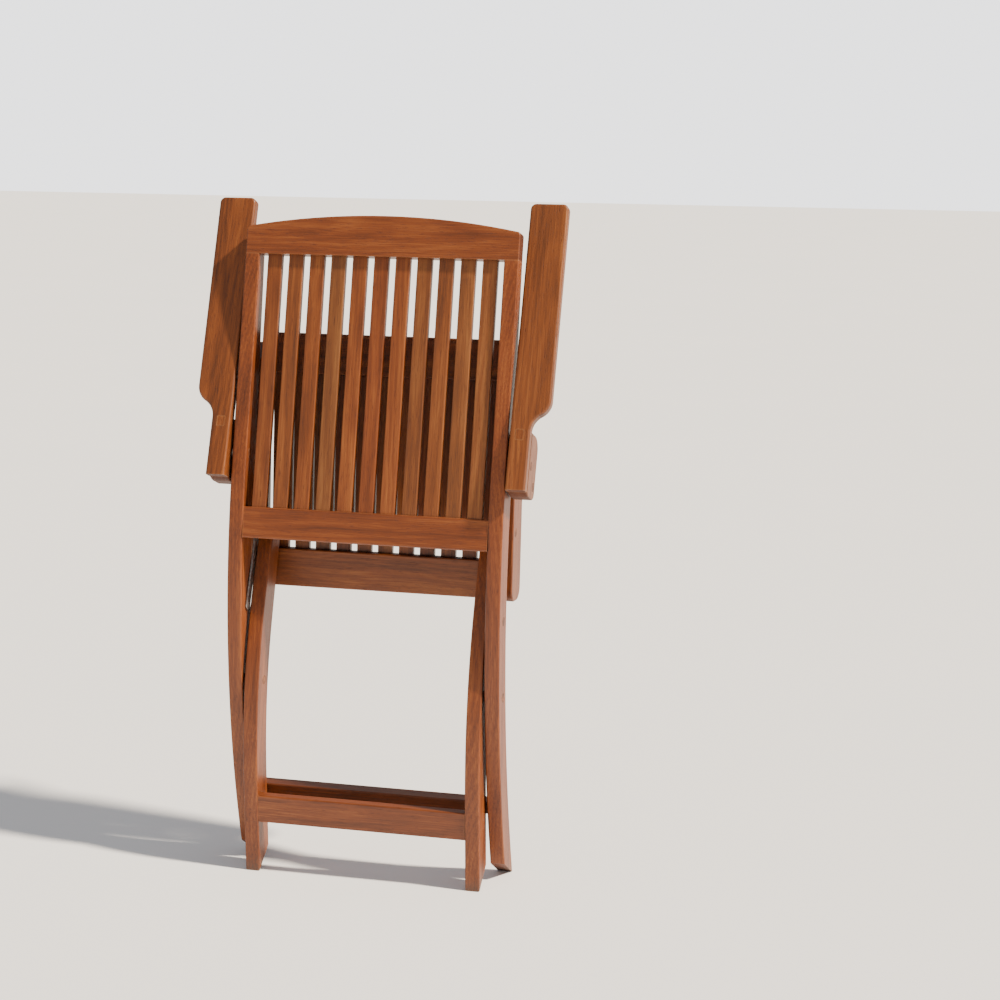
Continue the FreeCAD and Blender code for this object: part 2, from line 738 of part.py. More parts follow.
def rear_legs():
    for side, low, high in pair_sides(leg_inner, leg_outer):
        outward = 1 if side == "right" else -1
        inner = low if side == "right" else high
        name = side + "_rear_leg"
        body = outline_pad(name, "YZ_Plane", leg_outline(), "{leg_thick}", at_pivot(low),
                           "{edge_round}", keep_sharp=(7,))
        depth = size.tenon_long + size.fit_gap
        mortise = block(name + "_mortise", "{tenon_long} + {fit_gap}",
                        "{rear_bar_thick} - {tenon_shoulder} + 2 * {fit_gap}",
                        "{rear_bar_tall} - 2 * {tenon_shoulder} + 2 * {fit_gap}",
                        rear_bar_corner().placement(mortise_start(inner, outward, depth),
                                                    size.tenon_shoulder - size.fit_gap,
                                                    size.tenon_shoulder / 2 - size.fit_gap))
        cuts = [mortise]
        for where, point in (("cross", cross_pivot), ("seat", seat_pivot)):
            cuts.append(bolt_bore(name + "_%s_bore" % where, point, low, high))
            cuts.append(counterbore(name + "_%s_sink" % where, point, inner, outward))
        node(name, body, cut=cuts)


# ---------------------------------------------------------------- seat

def seat_rail_outline():
    """A side rail in the seat's own frame: first across (to the top), then along."""
    low = -size.seat_pivot_cover
    front = -size.seat_front
    r = size.seat_nose_round
    bow = stile_front_bow - size.stop_gap
    ends = []
    for across in (low, seat_top):
        start = seat_open.point(0.0, across)
        stop = walk_to_circle(start, seat_open.along, stile_centre, bow)
        ends.append((across, span(start, stop)))
    inner = (low + r, front + r)
    outer = (seat_top - r, front + r)
    return [
        line(ends[0], (low, front + r)),
        arc_about(inner, r, 180.0, 270.0),
        line((low + r, front), (seat_top - r, front)),
        arc_about(outer, r, 270.0, 360.0),
        line((seat_top, front + r), ends[1]),
        line(ends[1], ends[0]),
    ]


def front_rail_place(x, along=0.0, across=0.0):
    return seat.placement(x, -size.seat_front + along,
                          seat_top - size.front_rail_thick + across)


def rear_rail_place(x, along=0.0, across=0.0):
    return seat.placement(x, size.seat_rear - size.rear_rail_wide + along,
                          seat_top - size.rear_rail_thick + across)


def seat_side_rails():
    for side, low, high in pair_sides(stile_inner, half_width):
        outward = 1 if side == "right" else -1
        inner = low if side == "right" else high
        outer = high if side == "right" else low
        name = side + "_seat_rail"
        body = outline_pad(name, "YZ_Plane", seat_rail_outline(), "{stile_thick}",
                           seat.placement(low, 0.0, 0.0), "{edge_round}")
        depth = size.tenon_long + size.fit_gap
        start = mortise_start(inner, outward, depth)
        s = size.tenon_shoulder - size.fit_gap
        front = block(name + "_front_mortise", "{tenon_long} + {fit_gap}",
                      "{front_rail_thick} - 2 * {tenon_shoulder} + 2 * {fit_gap}",
                      "{front_rail_wide} - 4 * {tenon_shoulder} + 2 * {fit_gap}",
                      front_rail_place(start, 3 * size.tenon_shoulder - size.fit_gap, s))
        rear = block(name + "_rear_mortise", "{tenon_long} + {fit_gap}",
                     "{rear_rail_thick} - 2 * {tenon_shoulder} + 2 * {fit_gap}",
                     "{rear_rail_wide} / 3 + 2 * {fit_gap}", rear_rail_place(start, s, s))
        cuts = [
            front,
            rear,
            rod(name + "_seat_bore", "{bolt_radius}", low, high, seat_pivot),
            counterbore(name + "_seat_sink", seat_pivot, outer, -outward),
            rod(name + "_low_bore", "{pin_radius}", low, high, low_strap_top),
            counterbore(name + "_low_sink", low_strap_top, outer, -outward),
            rod(name + "_arm_bore", "{pin_radius}", low, high, arm_strap_top),
        ]
        node(name, body, cut=cuts)


def nut_hollow(name, side):
    """Room for the arm strap's bolt and nut in the end of the rear seat rail."""
    flip = 1.0 if side == "right" else -1.0
    hollow = document.addObject("Part::MultiFuse", name + "_hollow_" + side)
    hollow.Shapes = [
        rod(name + "_nut_pocket_" + side, "{pin_head_radius} + {fit_gap}",
            flip * (stile_inner - size.nut_pocket_deep), flip * stile_inner, arm_strap_top),
        rod(name + "_pin_bore_" + side, "{pin_radius} + {fit_gap}", flip * stile_inner,
            flip * (stile_inner + size.tenon_long + size.fit_gap), arm_strap_top),
    ]
    hollow.Refine = True
    return hollow


def seat_cross_rails():
    s = size.tenon_shoulder
    name = "front_seat_rail"
    body = bar(name, "YZ_Plane", "{front_rail_thick}", "{front_rail_wide}",
               "{frame_width} - 2 * {stile_thick}", front_rail_place(-stile_inner))
    tenons = []
    for side, low, high in pair_sides(stile_inner - size.tenon_root, stile_inner + size.tenon_long):
        tenons.append(block(name + "_tenon_" + side, "{tenon_long} + {tenon_root}",
                            "{front_rail_thick} - 2 * {tenon_shoulder}",
                            "{front_rail_wide} - 4 * {tenon_shoulder}",
                            front_rail_place(low, 3 * s, s)))
    holes = slat_mortises(name + "_housing", seat,
                          size.front_rail_wide - size.seat_front - size.slat_housing
                          - size.fit_gap,
                          seat_top - size.seat_slat_thick - size.seat_slat_sunk - size.fit_gap,
                          "{seat_slat_thick} + 2 * {fit_gap}",
                          "{slat_housing} + 2 * {fit_gap}")
    node(name, body, add=tenons, cut=holes)

    name = "rear_seat_rail"
    half = stile_inner - size.joint_gap / 2
    body = bar(name, "YZ_Plane", "{rear_rail_thick}", "{rear_rail_wide}",
               "{frame_width} - 2 * {stile_thick} - {joint_gap}", rear_rail_place(-half))
    tenons = []
    hollows = []
    for side, low, high in pair_sides(half - size.tenon_root, stile_inner + size.tenon_long):
        tenons.append(block(name + "_tenon_" + side, "{tenon_long} + {joint_gap} / 2 + {tenon_root}",
                            "{rear_rail_thick} - 2 * {tenon_shoulder}",
                            "{rear_rail_wide} / 3", rear_rail_place(low, s, s)))
        hollows.append(nut_hollow(name, side))
    holes = slat_mortises(name + "_housing", seat,
                          size.seat_rear - size.rear_rail_wide - size.fit_gap,
                          seat_top - size.seat_slat_thick - size.seat_slat_sunk - size.fit_gap,
                          "{seat_slat_thick} + 2 * {fit_gap}",
                          "{slat_housing} + 2 * {fit_gap}")
    node(name, body, add=tenons, cut=holes + hollows)


def seat_slats():
    start = size.front_rail_wide - size.seat_front - size.slat_housing
    length = ("{seat_rear} - {rear_rail_wide} + {seat_front} - {front_rail_wide}"
              " + 2 * {slat_housing}")
    board_start = size.front_rail_wide - size.seat_front + size.seat_slat_tongue
    board_length = ("{seat_rear} - {rear_rail_wide} + {seat_front} - {front_rail_wide}"
                    " - {seat_slat_tongue} - {fit_gap}")
    for number, middle in enumerate(slat_places(), start=1):
        name = "seat_slat_%02d" % number
        across = seat_top - size.seat_slat_thick - size.seat_slat_sunk
        tongue = bar(name + "_tongue", "XY_Plane", "{slat_wide}", "{seat_slat_thick}", length,
                     seat.placement(middle - size.slat_wide / 2, start, across),
                     "{slat_round}")
        board = bar(name, "XY_Plane", "{seat_slat_wide}", "{seat_slat_thick}", board_length,
                    seat.placement(middle - size.seat_slat_wide / 2, board_start, across),
                    "{slat_round}")
        node(name, board, add=[tongue])


# ---------------------------------------------------------------- arms

def arm_board_outline(side):
    """The arm from above: narrow over the ear, an S-curve, then wide to the front."""
    wide = size.arm_wide
    narrow = size.arm_narrow
    rear = ear_round_start()
    curve_start = size.ear_front
    curve_end = curve_start + size.arm_curve_long
    middle = ((narrow + wide) / 2, (curve_start + curve_end) / 2)
    step = (wide - narrow) / 2
    front = size.arm_reach
    r = size.arm_corner
    cut = r - r / math.sqrt(2.0)
    quarter = size.arm_curve_long / 4
    lean = size.arm_curve_bulge * step
    return side_of(side, [
        ((0.0, rear), (0.0, front - r)),
        ((0.0, front - r), (cut, front - cut), (r, front)),
        ((r, front), (wide - r, front)),
        ((wide - r, front), (wide - cut, front - cut), (wide, front - r)),
        ((wide, front - r), (wide, curve_end)),
        ((wide, curve_end), (middle[0] + step / 2 + lean, middle[1] + quarter - lean), middle),
        (middle, (middle[0] - step / 2 - lean, middle[1] - quarter + lean), (narrow, curve_start)),
        ((narrow, curve_start), (narrow, rear)),
        ((narrow, rear), (0.0, rear)),
    ])


def side_of(side, pieces):
    """Lines and arcs from point lists, drawn for the right or mirrored for the left."""
    flip = 1.0 if side == "right" else -1.0
    edges = []
    for points in pieces:
        drawn = [(flip * p[0], p[1]) for p in points]
        edges.append(line(*drawn) if len(drawn) == 2 else arc(*drawn))
    return edges


def ear_round_start():
    """Where the rear rounding crosses the joint of board and ear, along the arm."""
    drop = size.ear_round - size.arm_thick
    return -size.arm_tail + size.ear_round - math.sqrt(size.ear_round ** 2 - drop ** 2)


def arm_boards():
    for side, low, high in pair_sides(arm_inner, arm_inner + size.arm_wide):
        name = side + "_arm_board"
        face = arm_inner if side == "right" else -arm_inner
        body = outline_pad(name, "XZ_Plane", arm_board_outline(side), "{arm_thick}",
                           arm.placement(face, 0.0, size.arm_thick - size.arm_top),
                           "{arm_round}", keep_sharp=(8,))
        # the rear end is cut to the same rounding as the ear below it; the front end is rolled
        rear = end_rounding_cutter(name + "_rear_rounding", side, size.ear_round,
                                   -size.arm_tail, -1.0)
        front = end_rounding_cutter(name + "_front_rounding", side, size.arm_nose_round,
                                    size.arm_reach, 1.0)
        hole_start = arm_tenon_start(side) - size.fit_gap
        hole = block(name + "_mortise", "{arm_tenon_wide} + 2 * {fit_gap}",
                     "{arm_thick} + 2", "{arm_tenon_long} + 2 * {fit_gap}",
                     arm.placement(hole_start, size.ear_front - size.arm_tenon_long
                                   - size.fit_gap, -size.arm_top - 1.0))
        node(name, body, cut=[rear, front, hole])


def end_rounding_cutter(name, side, r, end, way):
    """What lies outside a rounded end of the arm's top face, as a solid to cut away."""
    top = -size.arm_top
    margin = size.cut_margin
    centre = (top + r, end - way * r)
    beyond = end + way * margin
    outline = [
        arc(polar(centre, r, 180.0), polar(centre, r, 180.0 - way * 45.0),
            polar(centre, r, 180.0 - way * 90.0)),
        line((centre[0], end), (centre[0], beyond)),
        line((centre[0], beyond), (top - margin, beyond)),
        line((top - margin, beyond), (top - margin, centre[1])),
        line((top - margin, centre[1]), (top, centre[1])),
    ]
    wire = Part.Wire([edge.toShape() for edge in outline])
    solid = Part.Face(wire).extrude(FreeCAD.Vector(0, 0, size.arm_wide + margin))
    # the outline is drawn flat; a third of a turn about the diagonal sets it in the side view
    solid.rotate(FreeCAD.Vector(0, 0, 0), FreeCAD.Vector(1, 1, 1), 120)
    cutter = document.addObject("Part::Feature", name)
    cutter.Shape = solid
    start = arm_inner if side == "right" else -arm_inner - size.arm_wide
    cutter.Placement = arm.placement(start - margin / 2, 0.0, 0.0)
    return cutter


def arm_tenon_start(side):
    centre = arm_inner + size.arm_narrow / 2
    centre = centre if side == "right" else -centre
    return centre - size.arm_tenon_wide / 2


def ear_outline():
    """The ear's side view in the arm's frame: first across (down), then along."""
    r = size.ear_round
    tail = -size.arm_tail
    top = size.arm_thick - size.arm_top
    centre = (r - size.arm_top, tail + r)
    start = (top, ear_round_start())
    low = size.ear_drop
    corner = size.ear_corner
    front = size.ear_front
    first = heading(centre, start) % 360.0
    return [
        line((top, front), start),
        arc_about(centre, r, first, 270.0),
        line((centre[0], tail), (low - corner, tail)),
        arc_about((low - corner, tail + corner), corner, 270.0, 360.0),
        line((low, tail + corner), (low, front - 2 * corner)),
        arc_about((low - 2 * corner, front - 2 * corner), 2 * corner, 0.0, 90.0),
        line((low - 2 * corner, front), (top, front)),
    ]


def arm_ears():
    for side, low, high in pair_sides(arm_inner, arm_inner + size.arm_narrow):
        outward = 1 if side == "right" else -1
        outer = high if side == "right" else low
        name = side + "_arm_ear"
        body = outline_pad(name, "YZ_Plane", ear_outline(), "{arm_narrow}",
                           arm.placement(low, 0.0, 0.0), "{edge_round}", keep_sharp=(0,))
        tenon = block(name + "_tenon", "{arm_tenon_wide}", "{arm_thick} + 4",
                      "{arm_tenon_long}",
                      arm.placement(arm_tenon_start(side),
                                    size.ear_front - size.arm_tenon_long, -size.arm_top))
        cuts = [
            bolt_bore(name + "_bore", arm_pivot, low, high),
            counterbore(name + "_sink", arm_pivot, outer, -outward),
            rod(name + "_pin_bore", "{pin_radius}", low, high, arm_pin),
            counterbore(name + "_pin_sink", arm_pin, outer, -outward),
        ]
        node(name, body, add=[tenon], cut=cuts)


# ---------------------------------------------------------------- fasteners

def pivot_bolt(name, point, head_face, nut_face):
    """A bolt with its head and its nut sunk below two faces, along X."""
    inward = 1 if nut_face > head_face else -1
    head = head_face + inward * size.plug_thick
    nut = nut_face - inward * size.plug_thick
    head_end = head + inward * size.bolt_head_tall
    nut_end = nut - inward * size.bolt_head_tall
    fused = document.addObject("Part::MultiFuse", name)
    fused.Shapes = [
        rod(name + "_shank", "{bolt_radius}", head, nut, point),
        rod(name + "_head", "{bolt_head_radius}", head, head_end, point),
        rod(name + "_nut", "{bolt_head_radius}", nut, nut_end, point),
    ]
    fused.Refine = True
    return fused


def strap_pin(name, point, sunk_face, tip_face):
    """A strap's pin: its head is sunk below one face and its shank ends flush at the other."""
    inward = 1 if tip_face > sunk_face else -1
    head = sunk_face + inward * size.plug_thick
    fused = document.addObject("Part::MultiFuse", name)
    fused.Shapes = [
        rod(name + "_shank", "{pin_radius}", head, tip_face, point),
        rod(name + "_head", "{pin_head_radius}", head, head + inward * size.bolt_head_tall, point),
    ]
    fused.Refine = True
    return fused


def washer(name, point, low, high):
    ring = document.addObject("Part::Cut", name)
    ring.Base = rod(name + "_disc", "{washer_radius}", low + size.washer_clear,
                    high - size.washer_clear, point)
    ring.Tool = rod(name + "_hole", "{bolt_radius} + {run_gap}", low, high, point)
    return ring


def plug(name, point, face, inward):
    return rod(name, "{plug_radius}", face, face + inward * size.plug_thick, point)


def fasteners():
    ear_outer = arm_inner + size.arm_narrow
    strap_low = leg_outer + (size.joint_gap - size.strap_thick) / 2
    strap_high = half_width + (size.joint_gap + size.strap_thick) / 2
    cross_bolts = []
    arm_bolts = []
    seat_bolts = []
    stile_pins = []
    stile_washers = []
    seat_washers = []
    stile_plugs = []
    leg_plugs = []
    seat_plugs = []
    seat_pins = []
    rear_pins = []
    for side, flip in (("right", 1), ("left", -1)):
        cross_bolts.append(pivot_bolt(side + "_cross_bolt", cross_pivot, flip * half_width,
                                      flip * leg_inner))
        arm_bolts.append(pivot_bolt(side + "_arm_bolt", arm_pivot, flip * ear_outer,
                                    flip * stile_inner))
        seat_bolts.append(pivot_bolt(side + "_seat_bolt", seat_pivot, flip * half_width,
                                     flip * leg_inner))
        stile_pins.append(strap_pin(side + "_stile_pin", stile_pin, flip * half_width,
                                    flip * strap_low))
        inner_gap = sorted((flip * leg_outer, flip * stile_inner))
        outer_gap = sorted((flip * half_width, flip * arm_inner))
        stile_washers.append(washer(side + "_cross_washer", cross_pivot, *inner_gap))
        stile_washers.append(washer(side + "_arm_washer", arm_pivot, *outer_gap))
        seat_washers.append(washer(side + "_seat_washer", seat_pivot, *inner_gap))
        stile_plugs.append(plug(side + "_cross_plug", cross_pivot, flip * half_width, -flip))
        stile_plugs.append(plug(side + "_pin_plug", stile_pin, flip * half_width, -flip))
        stile_plugs.append(plug(side + "_arm_plug", arm_pivot, flip * stile_inner, flip))
        leg_plugs.append(plug(side + "_leg_cross_plug", cross_pivot, flip * leg_inner, flip))
        leg_plugs.append(plug(side + "_leg_seat_plug", seat_pivot, flip * leg_inner, flip))
        seat_plugs.append(plug(side + "_seat_plug", seat_pivot, flip * half_width, -flip))
        seat_plugs.append(plug(side + "_low_plug", low_strap_top, flip * half_width, -flip))
        seat_pins.append(strap_pin(side + "_seat_pin", low_strap_top, flip * half_width,
                                   flip * stile_inner))
        rear_pins.append(rear_seat_pin(side, flip))
        ear_plugs = [
            plug(side + "_ear_plug", arm_pivot, flip * ear_outer, -flip),
            plug(side + "_ear_pin_plug", arm_pin, flip * ear_outer, -flip),
        ]
        group(side + "_arm_plugs", ear_plugs)
        node(side + "_arm_pin", strap_pin(side + "_ear_pin", arm_pin, flip * ear_outer,
                                          flip * (strap_high - size.strap_thick)))
    group("cross_bolts", cross_bolts)
    group("arm_bolts", arm_bolts)
    group("seat_bolts", seat_bolts)
    group("stile_pins", stile_pins)
    group("stile_washers", stile_washers)
    group("seat_washers", seat_washers)
    group("stile_plugs", stile_plugs)
    group("rear_leg_plugs", leg_plugs)
    group("seat_rail_plugs", seat_plugs)
    group("seat_pins", seat_pins + rear_pins)


def rear_seat_pin(side, flip):
    """The arm strap's bolt through the seat rail, with its nut on the rail's inner face."""
    name = side + "_rear_pin"
    fused = document.addObject("Part::MultiFuse", name)
    inner = flip * stile_inner
    fused.Shapes = [
        rod(name + "_shank", "{pin_radius}", flip * half_width, inner, arm_strap_top),
        rod(name + "_nut", "{pin_head_radius}", inner, inner - flip * size.bolt_head_tall,
            arm_strap_top),
    ]
    fused.Refine = True
    return fused


# ---------------------------------------------------------------- straps

def strap_outline(length):
    """A flat bar with round ends, drawn upwards from its lower eye."""
    r = size.strap_wide / 2
    return [
        line((-r, 0.0), (-r, length)),
        arc((-r, length), (0.0, length + r), (r, length)),
        line((r, length), (r, 0.0)),
        arc((r, 0.0), (0.0, -r), (-r, 0.0)),
    ]


def strap(name, lower, upper, x_low, pinned):
    """A steel strap between two side-view points, bored at its pinned end."""
    frame = Tilted(lower, 90.0 - heading(lower, upper))
    outline = strap_outline(span(lower, upper))
    body = square_pad(name, "YZ_Plane", outline, "{strap_thick}",
                      frame.placement(x_low, 0.0, 0.0))[0]
    x_high = x_low + size.strap_thick
    bores = []
    for where, point in (("lower", lower), ("upper", upper)):
        gap = "{pin_radius} + {run_gap}" if where == pinned else "{pin_radius}"
        bores.append(rod(name + "_%s_bore" % where, gap, x_low, x_high, point))
    node(name, body, cut=bores)


def straps():
    inset = (size.joint_gap - size.strap_thick) / 2
    for side, low, high in pair_sides(leg_outer + inset, leg_outer + inset + size.strap_thick):
        strap(side + "_seat_strap", stile_pin, low_strap_top, low, "lower")
        node(side + "_seat_rivet", rod(side + "_seat_rivet_rod", "{pin_radius}", low, high,
                                       low_strap_top))
    for side, low, high in pair_sides(half_width + inset, half_width + inset + size.strap_thick):
        strap(side + "_arm_strap", arm_pin, arm_strap_top, low, "lower")
        node(side + "_arm_rivet", rod(side + "_arm_rivet_rod", "{pin_radius}", low, high,
                                      arm_strap_top))


# ---------------------------------------------------------------- build, check and write

stiles()
low_back_rail()
top_rail()
back_slats()
front_stretcher()
rear_stretcher()
rear_legs()
seat_side_rails()
seat_cross_rails()
seat_slats()
arm_boards()
arm_ears()
fasteners()
straps()
document.recompute()

failed = [thing.Label for thing in document.Objects
          if "Invalid" in thing.State or "Error" in thing.State]
failed += [thing.Label for thing in document.Objects
           if hasattr(thing, "Shape") and not thing.Shape.isNull() and not thing.Shape.isValid()]
if failed:
    raise RuntimeError("failed: " + ", ".join(failed))

os.makedirs("parts", exist_ok=True)
for label, piece in nodes.items():
    if piece.Shape.isNull() or not piece.Shape.isValid():
        raise RuntimeError("bad shape: " + label)
    piece.Shape.exportStep("parts/%s.step" % label)
print("wrote", len(nodes), "pieces")
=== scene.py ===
import json
import math
import random

import bmesh
import bpy
import numpy as np
from mathutils import Matrix, Vector


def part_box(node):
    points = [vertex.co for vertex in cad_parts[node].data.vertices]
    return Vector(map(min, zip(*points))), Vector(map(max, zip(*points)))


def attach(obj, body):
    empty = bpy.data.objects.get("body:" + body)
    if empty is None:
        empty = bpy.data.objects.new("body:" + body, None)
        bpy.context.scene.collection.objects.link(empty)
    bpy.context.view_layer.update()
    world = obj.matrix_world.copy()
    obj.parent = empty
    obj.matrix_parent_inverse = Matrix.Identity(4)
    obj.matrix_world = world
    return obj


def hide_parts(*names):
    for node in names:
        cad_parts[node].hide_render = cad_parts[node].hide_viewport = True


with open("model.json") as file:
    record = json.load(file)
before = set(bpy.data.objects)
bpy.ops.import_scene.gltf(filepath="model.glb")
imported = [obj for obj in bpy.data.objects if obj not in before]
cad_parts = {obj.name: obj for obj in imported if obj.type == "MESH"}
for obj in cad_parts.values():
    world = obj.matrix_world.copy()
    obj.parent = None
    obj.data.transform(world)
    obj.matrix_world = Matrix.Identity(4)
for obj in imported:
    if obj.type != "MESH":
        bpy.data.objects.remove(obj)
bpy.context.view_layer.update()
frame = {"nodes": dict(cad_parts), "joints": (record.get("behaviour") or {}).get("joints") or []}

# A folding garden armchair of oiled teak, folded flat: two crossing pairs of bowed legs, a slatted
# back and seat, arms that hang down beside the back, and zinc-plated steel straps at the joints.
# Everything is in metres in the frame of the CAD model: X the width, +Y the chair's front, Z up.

MM = 0.001


# ---------------------------------------------------------------- small tools

def linear(code):
    """An sRGB hex value as a linear colour with full alpha."""
    channels = [int(code[i:i + 2], 16) / 255.0 for i in (1, 3, 5)]
    turned = [c / 12.92 if c <= 0.04045 else ((c + 0.055) / 1.055) ** 2.4 for c in channels]
    return (*turned, 1.0)


def between(first, second, share):
    return tuple(a + (b - a) * share for a, b in zip(first, second))


def add(tree, kind, settings=None, **sockets):
    """Adds a node. A socket given another node's socket is linked; any other value is set."""
    node = tree.nodes.new(kind)
    for name, value in (settings or {}).items():
        setattr(node, name, value)
    for name, value in sockets.items():
        key = int(name[1:]) if name[0] == "_" else name.replace("_", " ")
        if isinstance(value, bpy.types.NodeSocket):
            tree.links.new(value, node.inputs[key])
        else:
            node.inputs[key].default_value = value
    return node


def stops(node, *places):
    """Sets a colour ramp's stops, each a position and a colour or a grey."""
    elements = node.color_ramp.elements
    while len(elements) < len(places):
        elements.new(1.0)
    for element, (position, value) in zip(elements, places):
        element.position = position
        element.color = value if isinstance(value, tuple) else (value, value, value, 1.0)
    return node.outputs["Color"]


def empty_material(name):
    material = bpy.data.materials.new(name)
    material.use_nodes = True
    material.node_tree.nodes.clear()
    return material, material.node_tree


def paint(piece, material):
    """Puts one material on a whole piece."""
    if not piece.data.materials:
        piece.data.materials.append(material)
    for index in range(len(piece.data.materials)):
        piece.data.materials[index] = material


# ---------------------------------------------------------------- teak

# Sizes of the figure in millimetres, along the grain and across it.
RING_SPACING = 5.5       # growth rings of plantation teak
STREAK = (70.0, 1.3)     # mineral streaks
BAND = (420.0, 22.0)     # broad darker bands
PORE = (13.0, 1.0)       # open pores
FIBRE_WANDER = (190.0, 40.0)
WANDER_REACH = 9.0       # how far the fibres stray sideways
WEAR_REACH = 2.5         # width of the rubbed strip along an edge
# reach of the painted shade in the corners between the parts
PAINTED_SHADE_REACH = 16.0
GROUND_STAIN = 45.0      # height to which the feet are grey from wet paving


def lie_of(piece):
    """The middle of a board and the turn that lays its length along X and its width along Y."""
    points = np.array([v.co for v in piece.data.vertices], float)
    middle = (points.min(0) + points.max(0)) / 2
    spread, ways = np.linalg.eigh(np.cov((points - middle).T))
    length = Vector(ways[:, 2])
    width = Vector(ways[:, 1])
    length *= 1.0 if max(length, key=abs) > 0 else -1.0
    width *= 1.0 if max(width, key=abs) > 0 else -1.0
    turn = Matrix((length, width, length.cross(width))).transposed()
    return tuple(middle), tuple(turn.to_euler()), tuple(length)


def stretched(tree, source, along, across):
    """Coordinates in which a pattern is this many millimetres long and wide."""
    scale = (1 / (along * MM), 1 / (across * MM), 1 / (across * MM))
    return add(tree, "ShaderNodeMapping", Vector=source, Scale=scale).outputs["Vector"]


def teak(name, lie, shade, warmth, seed):
    """Oiled plantation teak, planed, sanded and weathered one summer: golden to red brown with
    straight fibres, dark mineral streaks, open pores and a satin skin of oil. shade runs from
    -1, dark, to 1, pale, and warmth from -1, greyed, to 1, red."""
    material, tree = empty_material(name)
    middle, turn, length = lie
    grey = max(0.0, -warmth)
    red = max(0.0, warmth)
    colours = []
    for plain, dull, ruddy in (("#391906", "#3a2714", "#3c1605"),
                               ("#723a12", "#684220", "#773210"),
                               ("#9e602a", "#8e6a3e", "#a05624")):
        tone = between(between(linear(plain), linear(dull), grey), linear(ruddy), red)
        gain = 1.0 + 0.42 * shade
        colours.append((tone[0] * gain, tone[1] * gain, tone[2] * gain, 1.0))
    dark, middling, pale = colours

    coords = add(tree, "ShaderNodeTexCoord")
    board = add(tree, "ShaderNodeMapping", {"vector_type": "TEXTURE"},
                Vector=coords.outputs["Object"], Location=middle, Rotation=turn).outputs["Vector"]
    four = {"noise_dimensions": "4D"}

    wander = add(tree, "ShaderNodeTexNoise", four, Vector=stretched(tree, board, *FIBRE_WANDER),
                 W=seed, Scale=1.0, Detail=1.0)
    stray = WANDER_REACH * MM
    bent = add(tree, "ShaderNodeVectorMath", {"operation": "MULTIPLY_ADD"},
               _0=wander.outputs["Color"], _1=(0.0, stray, stray), _2=board).outputs["Vector"]

    # The heart of the tree lies beside the board and a little askew, so the rings run out in arches.
    chance = random.Random(name)
    heart = (0.0, chance.uniform(-0.03, 0.03), chance.uniform(0.02, 0.06))
    askew = (0.0, chance.uniform(-0.05, 0.05), chance.uniform(-0.04, 0.04))
    trunk = add(tree, "ShaderNodeMapping", Vector=bent, Location=heart, Rotation=askew)
    rings = add(tree, "ShaderNodeTexWave", {"wave_type": "RINGS", "rings_direction": "X"},
                Vector=trunk.outputs["Vector"], Scale=math.tau / (20.0 * RING_SPACING * MM),
                Distortion=2.2, Detail=2.0, Detail_Scale=0.35)
    streaks = add(tree, "ShaderNodeTexNoise", four, Vector=stretched(tree, bent, *STREAK),
                  W=seed + 3.1, Scale=1.0, Detail=4.0, Roughness=0.62)
    bands = add(tree, "ShaderNodeTexNoise", four, Vector=stretched(tree, bent, *BAND),
                W=seed + 7.7, Scale=1.0, Detail=2.0)
    pores = add(tree, "ShaderNodeTexNoise", four, Vector=stretched(tree, board, *PORE),
                W=seed + 9.4, Scale=1.0, Detail=1.0)

    figure = add(tree, "ShaderNodeMath", {"operation": "MULTIPLY_ADD"},
                 _0=rings.outputs["Fac"], _1=0.09, _2=-0.33).outputs["Value"]
    figure = add(tree, "ShaderNodeMath", {"operation": "MULTIPLY_ADD"},
                 _0=streaks.outputs["Fac"], _1=0.75, _2=figure).outputs["Value"]
    figure = add(tree, "ShaderNodeMath", {"operation": "MULTIPLY_ADD"},
                 _0=bands.outputs["Fac"], _1=0.7, _2=figure).outputs["Value"]
    wood = stops(add(tree, "ShaderNodeValToRGB", Fac=figure),
                 (0.12, dark), (0.46, middling), (0.86, pale))

    pits = stops(add(tree, "ShaderNodeValToRGB", Fac=pores.outputs["Fac"]), (0.6, 0.0), (0.7, 1.0))
    wood = add(tree, "ShaderNodeMix", {"data_type": "RGBA", "blend_type": "MULTIPLY"},
               _0=pits, _6=wood, _7=(0.62, 0.55, 0.5, 1.0)).outputs[2]

    # End grain drinks more oil and is darker.
    facing = add(tree, "ShaderNodeVectorMath", {"operation": "DOT_PRODUCT"},
                 _0=coords.outputs["Normal"], _1=length).outputs["Value"]
    facing = add(tree, "ShaderNodeMath", {"operation": "ABSOLUTE"}, _0=facing).outputs["Value"]
    ends = stops(add(tree, "ShaderNodeValToRGB", Fac=facing), (0.72, 0.0), (0.92, 1.0))
    wood = add(tree, "ShaderNodeMix", {"data_type": "RGBA", "blend_type": "MULTIPLY"},
               _0=ends, _6=wood, _7=(0.5, 0.42, 0.36, 1.0)).outputs[2]

    # Handling rubs the oil off the edges, which go pale.
    inside = add(tree, "ShaderNodeAmbientOcclusion", {"inside": True, "only_local": True,
                                                      "samples": 6}, Distance=WEAR_REACH * MM)
    rubbed = stops(add(tree, "ShaderNodeValToRGB", Fac=inside.outputs["AO"]),
                   (0.35, 0.55), (0.8, 0.0))
    rubbed = add(tree, "ShaderNodeMath", {"operation": "MULTIPLY"}, _0=rubbed,
                 _1=bands.outputs["Fac"]).outputs["Value"]
    worn = between(pale, linear("#d8a878"), 0.5)
    wood = add(tree, "ShaderNodeMix", {"data_type": "RGBA"}, _0=rubbed, _6=wood,
               _7=worn).outputs[2]
